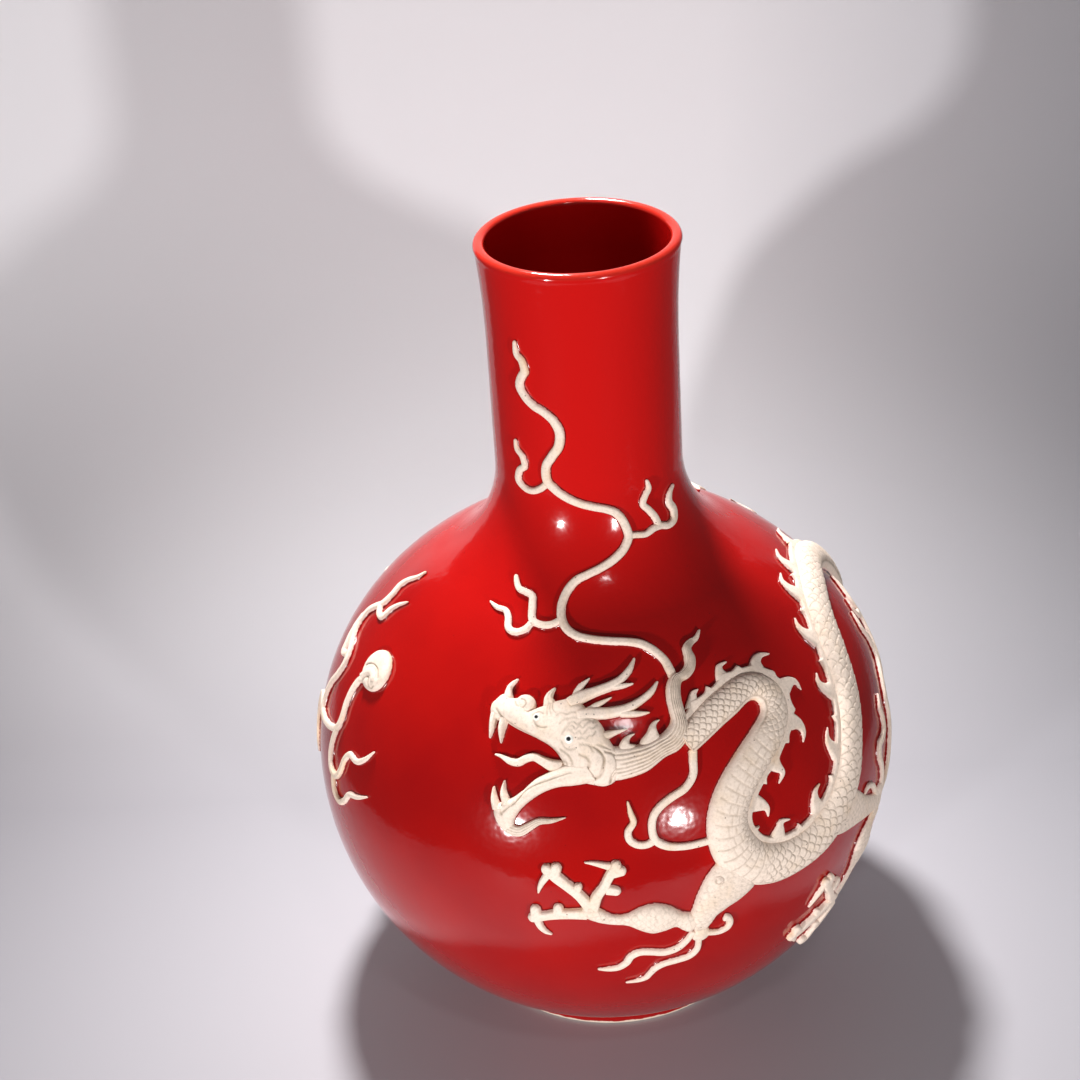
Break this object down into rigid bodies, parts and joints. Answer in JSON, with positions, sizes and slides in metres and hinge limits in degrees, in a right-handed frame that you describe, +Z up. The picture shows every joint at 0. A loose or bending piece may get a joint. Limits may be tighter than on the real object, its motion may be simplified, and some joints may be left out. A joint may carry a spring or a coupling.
{
  "type": "vase",
  "caption": "Tall-necked globular bottle vase (tianqiuping) in red glaze, with a moulded unglazed dragon, flaming pearl and curling flame wisps applied round its wall",
  "frame": {"origin": "middle of the foot ring, on the plane that the vase stands on", "axes": "+Z is up along the vase's axis, -Y is the side with the dragon's body loop and foreleg, and the dragon's head faces -X"},
  "size_m": [0.3014, 0.304, 0.422],
  "materials": {
    "red_glaze": "glossy deep red glaze over a white body",
    "biscuit": "matt cream unglazed porcelain with grey-ochre wash in its grooves",
    "white_slip": "smooth white with a dark painted pupil"
  },
  "bodies": {
    "root": {"foot_ring": "red_glaze", "lower_bowl": "red_glaze", "upper_bowl": "red_glaze", "neck": "red_glaze", "neck_stretch": "biscuit", "loop_stretch": "biscuit", "rising_stretch": "biscuit", "falling_stretch": "biscuit", "back_stretch": "biscuit", "tail_stretch": "biscuit", "neck_crest": "biscuit", "loop_crest": "biscuit", "rising_crest": "biscuit", "falling_crest": "biscuit", "back_crest": "biscuit", "tail_crest": "biscuit", "near_foreleg": "biscuit", "near_foreleg_flames": "biscuit", "far_foreleg": "biscuit", "far_foreleg_flames": "biscuit", "near_hind_leg": "biscuit", "near_hind_leg_flames": "biscuit", "far_hind_leg": "biscuit", "far_hind_leg_flames": "biscuit", "skull": "biscuit", "lower_jaw": "biscuit", "tongue": "biscuit", "upper_horn": "biscuit", "lower_horn": "biscuit", "ear": "biscuit", "mane": "biscuit", "near_eye": "white_slip", "far_eye": "white_slip", "neck_wisp": "biscuit", "cheek_wisp": "biscuit", "pearl": "biscuit", "pearl_flames": "biscuit", "shoulder_flame": "biscuit", "back_neck_flame": "biscuit", "side_flame": "biscuit", "loop_flame": "biscuit", "tail_tuft": "biscuit"}
  },
  "joints": []
}
